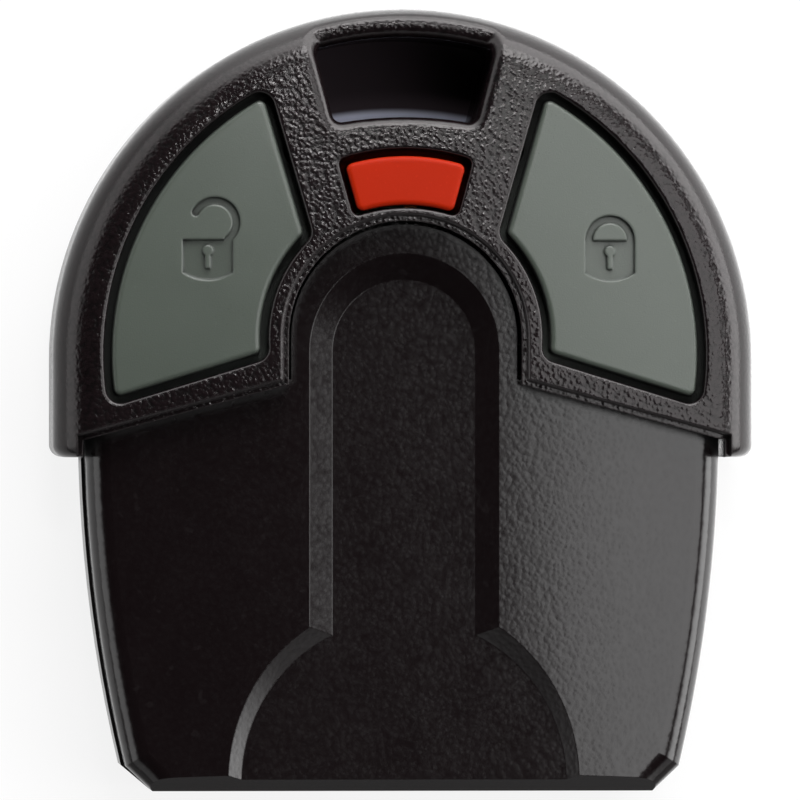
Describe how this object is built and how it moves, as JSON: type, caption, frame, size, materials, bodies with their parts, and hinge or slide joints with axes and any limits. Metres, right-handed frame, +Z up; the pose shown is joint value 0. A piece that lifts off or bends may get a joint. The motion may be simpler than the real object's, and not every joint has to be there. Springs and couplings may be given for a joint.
{
  "type": "car alarm remote",
  "caption": "Handheld car alarm remote: a horseshoe head with grey and red push caps and a keyring slot, over a blade holder drawer with a keyhole-shaped recess.",
  "frame": {"origin": "on the face that the remote lies on, under the middle of its length and width", "axes": "+X to the right as the buttons are read, +Y along the length towards the keyring slot, +Z up out of the buttons"},
  "size_m": [0.045, 0.0502, 0.0138],
  "materials": {
    "head_plastic": "moulded black plastic with a fine leather grain",
    "grey_cap": "matte grey plastic, faintly grained",
    "red_cap": "satin red plastic",
    "drawer_plastic": "finely matte black plastic",
    "board": "green solder-masked glass laminate",
    "switch_body": "black moulded resin",
    "switch_plunger": "tan moulded resin",
    "chip_resin": "black moulding resin with tinned leads",
    "resonator_can": "plated metal lid",
    "trimmer": "pale ceramic",
    "copper": "tinned copper strip",
    "chip_ceramic": "ceramic blocks with tinned ends",
    "cell_steel": "plated steel",
    "gasket": "black moulded sealing ring",
    "contact_steel": "plated spring steel",
    "screw_steel": "zinc-plated steel"
  },
  "bodies": {
    "head": {"front_shell": "head_plastic", "rear_shell": "head_plastic", "circuit_board": "board", "unlock_switch": "switch_body", "lock_switch": "switch_body", "panic_switch": "switch_body", "microcontroller": "chip_resin", "saw_resonator": "resonator_can", "rf_transistor": "chip_resin", "trimmer_capacitor": "trimmer", "loop_antenna": "copper", "chip_components": "chip_ceramic", "coin_cell_can": "cell_steel", "coin_cell_gasket": "gasket", "coin_cell_cap": "cell_steel", "negative_contact": "contact_steel", "positive_contact": "contact_steel", "head_screws": "screw_steel"},
    "unlock_button": {"unlock_button": "grey_cap"},
    "lock_button": {"lock_button": "grey_cap"},
    "panic_button": {"panic_button": "red_cap"},
    "unlock_plunger": {"unlock_plunger": "switch_plunger"},
    "lock_plunger": {"lock_plunger": "switch_plunger"},
    "panic_plunger": {"panic_plunger": "switch_plunger"},
    "drawer": {"drawer_front_cover": "drawer_plastic", "drawer_rear_cover": "drawer_plastic", "drawer_screws": "screw_steel"}
  },
  "joints": [
    {"name": "unlock_press", "type": "slide", "parent": "head", "child": "unlock_button", "axis": [0, 0, -1], "range_m": [0, 0.0004], "stiffness_N_per_m": 600},
    {"name": "unlock_click", "type": "slide", "parent": "head", "child": "unlock_plunger", "axis": [0, 0, -1], "range_m": [0, 0.0004]},
    {"name": "lock_press", "type": "slide", "parent": "head", "child": "lock_button", "axis": [0, 0, -1], "range_m": [0, 0.0004], "stiffness_N_per_m": 600},
    {"name": "lock_click", "type": "slide", "parent": "head", "child": "lock_plunger", "axis": [0, 0, -1], "range_m": [0, 0.0004]},
    {"name": "panic_press", "type": "slide", "parent": "head", "child": "panic_button", "axis": [0, 0, -1], "range_m": [0, 0.0004], "stiffness_N_per_m": 600},
    {"name": "panic_click", "type": "slide", "parent": "head", "child": "panic_plunger", "axis": [0, 0, -1], "range_m": [0, 0.0004]},
    {"name": "drawer_slide", "type": "slide", "parent": "head", "child": "drawer", "axis": [0, -1, 0], "range_m": [0, 0.016]}
  ],
  "couplings": [
    {"joint": "unlock_click", "follows": "unlock_press", "ratio": 1},
    {"joint": "lock_click", "follows": "lock_press", "ratio": 1},
    {"joint": "panic_click", "follows": "panic_press", "ratio": 1}
  ]
}
